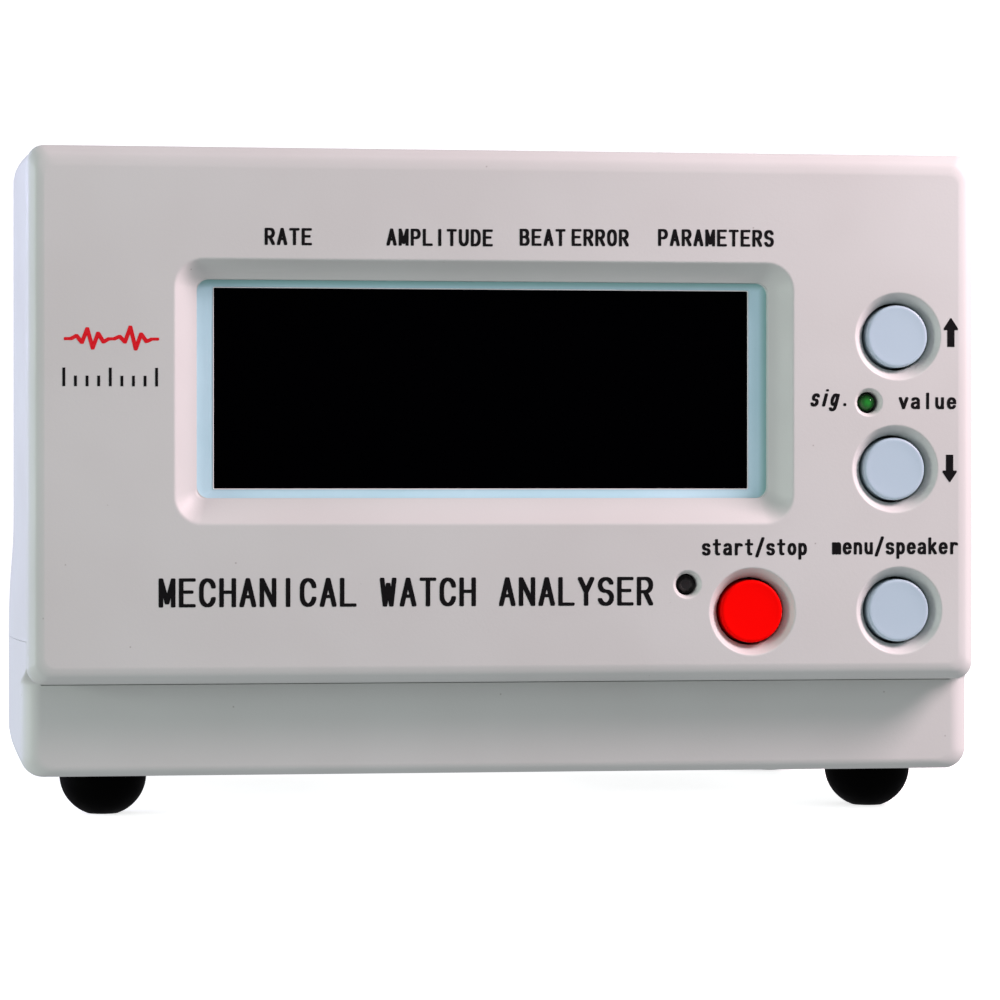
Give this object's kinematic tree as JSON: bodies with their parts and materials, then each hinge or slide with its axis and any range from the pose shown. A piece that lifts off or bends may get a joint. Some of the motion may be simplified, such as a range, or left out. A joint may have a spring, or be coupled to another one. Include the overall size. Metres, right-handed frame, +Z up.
{
  "type": "timegrapher",
  "caption": "Desktop watch timing instrument: moulded case with a framed graphic display, round push buttons, indicator lamps, domed feet and rear sockets with a rocker switch.",
  "frame": {"origin": "centre of the footprint, at the height of the table under the feet", "axes": "+X to the right as the user faces the display, +Y from the front panel to the rear panel, +Z up"},
  "size_m": [0.1606, 0.128, 0.109],
  "materials": {
    "case_plastic": "fine moulded grain, off-white",
    "cap_plastic": "smooth moulded, pale blue-grey",
    "start_cap_plastic": "smooth moulded, red",
    "foot_rubber": "moulded, black",
    "black_plastic": "moulded, black",
    "display_glass": "polarised, pale blue-green",
    "backlight_plastic": "milky diffuser",
    "circuit_board": "green solder mask",
    "ribbon_plastic": "grey flat cable insulation",
    "lamp_green": "clear tinted epoxy, unlit",
    "lamp_dark": "clear tinted epoxy, unlit",
    "zinc_steel": "bright zinc plate",
    "heatsink_aluminium": "extruded, plain",
    "brass": "turned"
  },
  "bodies": {
    "case": {"front_panel": "case_plastic", "top_cover": "case_plastic", "base_tray": "case_plastic", "rear_panel": "case_plastic", "front_left_foot": "foot_rubber", "case_screw_front_left": "zinc_steel", "front_right_foot": "foot_rubber", "case_screw_front_right": "zinc_steel", "rear_left_foot": "foot_rubber", "case_screw_rear_left": "zinc_steel", "rear_right_foot": "foot_rubber", "case_screw_rear_right": "zinc_steel", "display_glass": "display_glass", "display_backlight": "backlight_plastic", "display_frame": "zinc_steel", "display_board": "circuit_board", "display_cable": "ribbon_plastic", "key_board": "circuit_board", "main_board": "circuit_board", "processor": "black_plastic", "sensor_amplifier_shield": "zinc_steel", "voltage_regulator": "black_plastic", "regulator_heatsink": "heatsink_aluminium", "filter_capacitor": "black_plastic", "speaker": "zinc_steel", "power_socket": "black_plastic", "power_socket_pin": "brass", "power_socket_nut": "zinc_steel", "sensor_socket": "zinc_steel", "sensor_socket_nut": "zinc_steel", "power_switch_frame": "black_plastic", "signal_lamp": "lamp_green", "power_lamp": "lamp_dark", "display_screw_1": "zinc_steel", "key_board_screw_1": "zinc_steel", "main_board_screw_1": "zinc_steel", "display_screw_2": "zinc_steel", "key_board_screw_2": "zinc_steel", "main_board_screw_2": "zinc_steel", "display_screw_3": "zinc_steel", "key_board_screw_3": "zinc_steel", "main_board_screw_3": "zinc_steel", "display_screw_4": "zinc_steel", "key_board_screw_4": "zinc_steel", "main_board_screw_4": "zinc_steel", "up_button_switch": "black_plastic", "down_button_switch": "black_plastic", "menu_button_switch": "black_plastic", "start_button_switch": "black_plastic"},
    "up_button": {"up_button_cap": "cap_plastic", "up_button_plunger": "black_plastic"},
    "down_button": {"down_button_cap": "cap_plastic", "down_button_plunger": "black_plastic"},
    "menu_button": {"menu_button_cap": "cap_plastic", "menu_button_plunger": "black_plastic"},
    "start_button": {"start_button_cap": "start_cap_plastic", "start_button_plunger": "black_plastic"},
    "power_rocker": {"power_switch_rocker": "black_plastic"}
  },
  "joints": [
    {"name": "up_button_press", "type": "slide", "parent": "case", "child": "up_button", "axis": [0, 1, 0], "range_m": [0, 0.0005], "stiffness_N_per_m": 2000, "springref_m": -0.0001},
    {"name": "down_button_press", "type": "slide", "parent": "case", "child": "down_button", "axis": [0, 1, 0], "range_m": [0, 0.0005], "stiffness_N_per_m": 2000, "springref_m": -0.0001},
    {"name": "menu_button_press", "type": "slide", "parent": "case", "child": "menu_button", "axis": [0, 1, 0], "range_m": [0, 0.0005], "stiffness_N_per_m": 2000, "springref_m": -0.0001},
    {"name": "start_button_press", "type": "slide", "parent": "case", "child": "start_button", "axis": [0, 1, 0], "range_m": [0, 0.0005], "stiffness_N_per_m": 2000, "springref_m": -0.0001},
    {"name": "power_rocker_pivot", "type": "hinge", "parent": "case", "child": "power_rocker", "pos_m": [-0.054, 0.058, 0.034], "axis": [1, 0, 0], "range_deg": [0, 22]}
  ]
}
